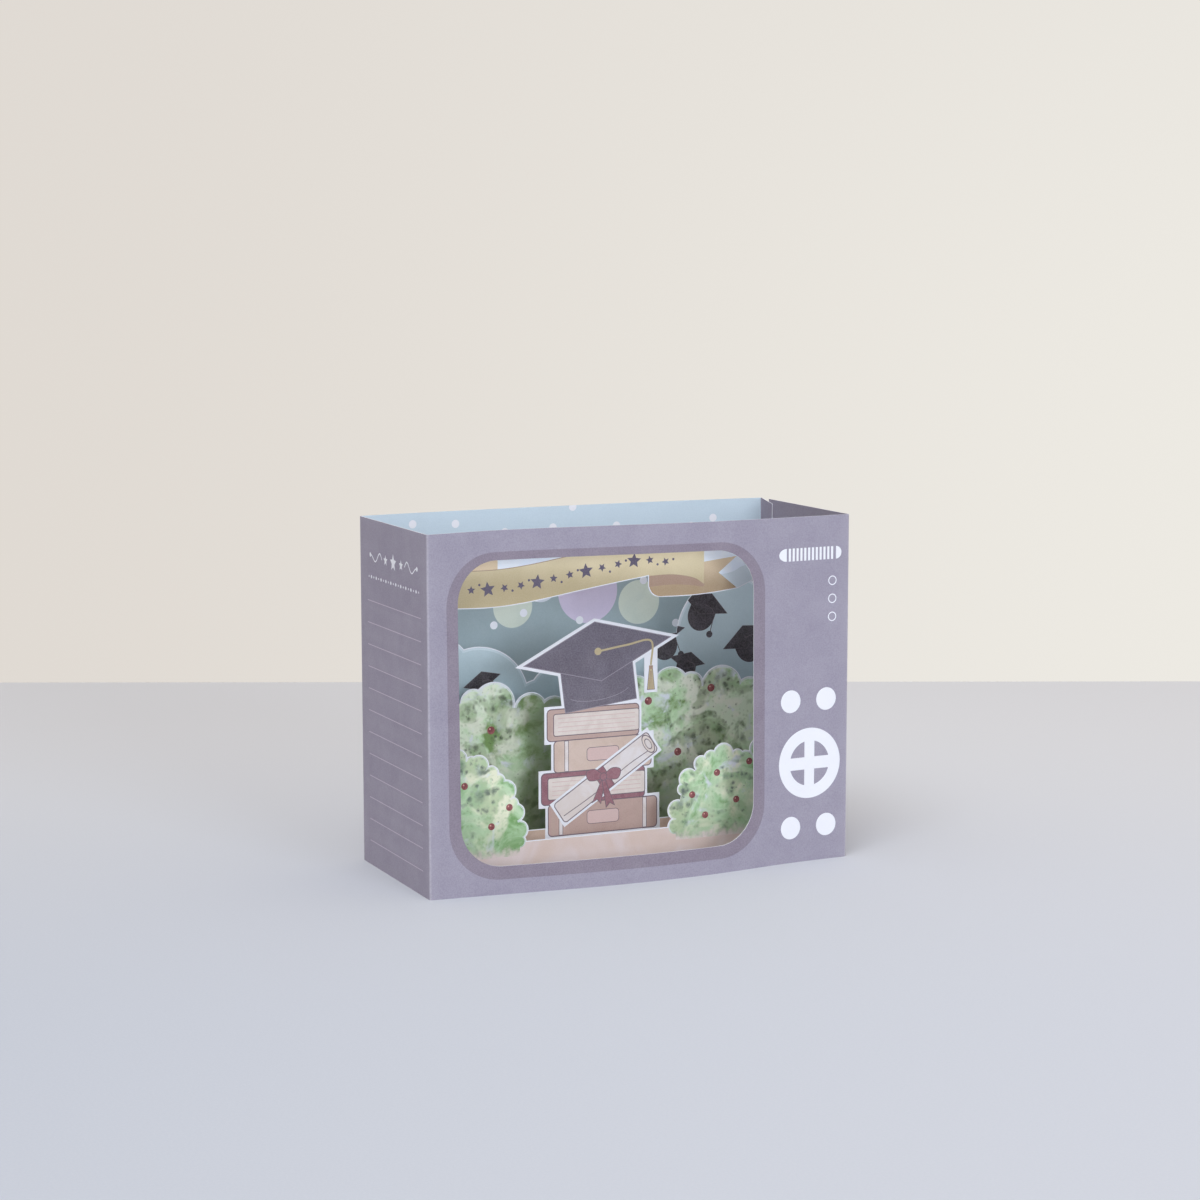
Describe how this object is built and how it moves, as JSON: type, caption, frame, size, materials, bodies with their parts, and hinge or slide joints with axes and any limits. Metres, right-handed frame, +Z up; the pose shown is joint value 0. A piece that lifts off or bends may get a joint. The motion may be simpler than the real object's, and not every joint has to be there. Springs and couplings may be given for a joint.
{
  "type": "pop-up greeting card",
  "caption": "Free-standing box card like an old television: a folded card sleeve with a window, and die-cut scene sheets glued one behind another inside it.",
  "frame": {"origin": "centre of the card's outline on the surface that it stands on", "axes": "+X along the front panel to the right as seen from the front, +Y from the front to the back, +Z up"},
  "size_m": [0.155, 0.074, 0.12],
  "materials": {
    "sleeve_card": "matt purple-grey print on uncoated card, white print and raw white edges",
    "foreground_card": "matt print in greens, tan and gold on uncoated card, raw white edges",
    "figure_card": "matt print in browns, cream and dark grey on uncoated card, raw white edges",
    "hedge_card": "matt print in mottled greens on uncoated card, raw white edges",
    "cloud_card": "matt pale blue print with dark caps on uncoated card, raw white edges"
  },
  "bodies": {
    "root": {"folded_sleeve": "sleeve_card", "foreground_sheet": "foreground_card", "figure_sheet": "figure_card", "hedge_sheet": "hedge_card", "cloud_sheet": "cloud_card"}
  },
  "joints": []
}
